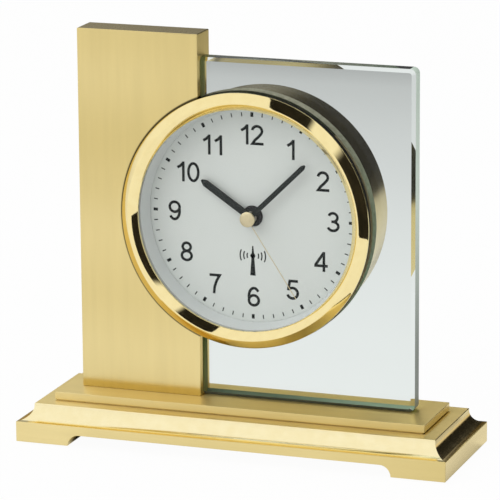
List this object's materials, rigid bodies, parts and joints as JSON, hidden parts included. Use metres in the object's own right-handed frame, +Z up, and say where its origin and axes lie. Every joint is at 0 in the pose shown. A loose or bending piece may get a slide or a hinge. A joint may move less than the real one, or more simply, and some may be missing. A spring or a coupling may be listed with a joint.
{
  "type": "table clock",
  "caption": "Table clock with a round brass-bezelled insert held in a bay between a flat brass pillar and a clear glass pane, on a stepped brass base.",
  "frame": {"origin": "on the table, under the middle of the base", "axes": "+Z up, +X to the right of someone who faces the dial, +Y away from the dial towards the back"},
  "size_m": [0.18, 0.059, 0.1666],
  "materials": {
    "satin_brass": "brushed and lacquered, pale gold",
    "polished_brass": "mirror polished and lacquered",
    "clear_glass": "clear float glass, polished edges",
    "white_paint": "matt off-white lacquer",
    "black_paint": "matt black lacquer",
    "black_rubber": "smooth soft rubber",
    "black_plastic": "fine moulded texture",
    "white_plastic": "natural acetal",
    "zinc_steel": "zinc-plated steel",
    "green_board": "solder-masked laminate",
    "copper_wire": "enamelled copper winding",
    "dark_ferrite": "sintered ferrite",
    "foot_felt": "pressed felt",
    "battery_sleeve": "shrink sleeve"
  },
  "bodies": {
    "clock_body": {"base_moulding": "satin_brass", "base_top_plate": "satin_brass", "foot_pad_front_left": "foot_felt", "foot_pad_front_right": "foot_felt", "foot_pad_back_left": "foot_felt", "foot_pad_back_right": "foot_felt", "pillar_screw_left": "zinc_steel", "pillar_screw_right": "zinc_steel", "plate_screw_left": "zinc_steel", "plate_screw_right": "zinc_steel", "pillar": "satin_brass", "glass_pane": "clear_glass", "case_drum": "satin_brass", "bezel": "polished_brass", "grip_band": "black_rubber", "crystal": "clear_glass", "crystal_gasket": "black_rubber", "rehaut_ring": "white_paint", "dial": "white_paint", "movement_front": "black_plastic", "movement_rear": "white_plastic", "train_bridge": "white_plastic", "minute_stator": "zinc_steel", "minute_coil": "copper_wire", "seconds_stator": "zinc_steel", "seconds_coil": "copper_wire", "circuit_board": "green_board", "antenna_rod": "dark_ferrite", "antenna_coil": "copper_wire", "battery": "battery_sleeve", "contact_positive": "zinc_steel", "contact_negative": "zinc_steel", "rear_panel": "black_plastic"},
    "hour_train": {"hour_hand": "black_paint", "hour_wheel": "white_plastic"},
    "minute_train": {"minute_hand": "black_paint", "cannon_wheel": "white_plastic"},
    "second_train": {"second_hand": "polished_brass", "seconds_wheel": "white_plastic"},
    "motion_gear": {"motion_wheel": "white_plastic"},
    "minute_intermediate_gear": {"minute_intermediate": "white_plastic"},
    "minute_motor_rotor": {"minute_rotor": "dark_ferrite"},
    "seconds_intermediate_gear": {"seconds_intermediate": "white_plastic"},
    "seconds_motor_rotor": {"seconds_rotor": "dark_ferrite"},
    "hatch": {"battery_hatch": "black_plastic"},
    "set_push": {"set_button": "black_plastic"},
    "receive_push": {"receive_button": "black_plastic"},
    "reset_push": {"reset_button": "black_plastic"}
  },
  "joints": [
    {"name": "minute_turn", "type": "hinge", "parent": "clock_body", "child": "minute_train", "pos_m": [0, 0, 0.09295], "axis": [0, 1, 0], "continuous": true},
    {"name": "hour_turn", "type": "hinge", "parent": "clock_body", "child": "hour_train", "pos_m": [0, 0, 0.09295], "axis": [0, 1, 0], "continuous": true},
    {"name": "motion_wheel_turn", "type": "hinge", "parent": "clock_body", "child": "motion_gear", "pos_m": [0, 0, 0.10495], "axis": [0, 1, 0], "continuous": true},
    {"name": "minute_intermediate_turn", "type": "hinge", "parent": "clock_body", "child": "minute_intermediate_gear", "pos_m": [-0.01046, 0, 0.08914], "axis": [0, 1, 0], "continuous": true},
    {"name": "minute_rotor_turn", "type": "hinge", "parent": "clock_body", "child": "minute_motor_rotor", "pos_m": [-0.01889, 0, 0.08988], "axis": [0, 1, 0], "continuous": true},
    {"name": "second_turn", "type": "hinge", "parent": "clock_body", "child": "second_train", "pos_m": [0, 0, 0.09295], "axis": [0, 1, 0], "continuous": true},
    {"name": "seconds_intermediate_turn", "type": "hinge", "parent": "clock_body", "child": "seconds_intermediate_gear", "pos_m": [0.01046, 0, 0.08914], "axis": [0, 1, 0], "continuous": true},
    {"name": "seconds_rotor_turn", "type": "hinge", "parent": "clock_body", "child": "seconds_motor_rotor", "pos_m": [0.01889, 0, 0.08988], "axis": [0, 1, 0], "continuous": true},
    {"name": "battery_hatch_slide", "type": "slide", "parent": "clock_body", "child": "hatch", "axis": [0, 1, 0], "range_m": [0, 0.03]},
    {"name": "set_button_press", "type": "slide", "parent": "clock_body", "child": "set_push", "axis": [0, -1, 0], "range_m": [0, 0.0008], "stiffness_N_per_m": 300},
    {"name": "receive_button_press", "type": "slide", "parent": "clock_body", "child": "receive_push", "axis": [0, -1, 0], "range_m": [0, 0.0008], "stiffness_N_per_m": 300},
    {"name": "reset_button_press", "type": "slide", "parent": "clock_body", "child": "reset_push", "axis": [0, -1, 0], "range_m": [0, 0.0008], "stiffness_N_per_m": 300}
  ],
  "couplings": [
    {"joint": "hour_turn", "follows": "minute_turn", "ratio": 0.083333},
    {"joint": "motion_wheel_turn", "follows": "minute_turn", "ratio": -0.33333},
    {"joint": "minute_intermediate_turn", "follows": "minute_turn", "ratio": -6},
    {"joint": "minute_rotor_turn", "follows": "minute_turn", "ratio": 30},
    {"joint": "seconds_intermediate_turn", "follows": "second_turn", "ratio": -6},
    {"joint": "seconds_rotor_turn", "follows": "second_turn", "ratio": 30}
  ]
}
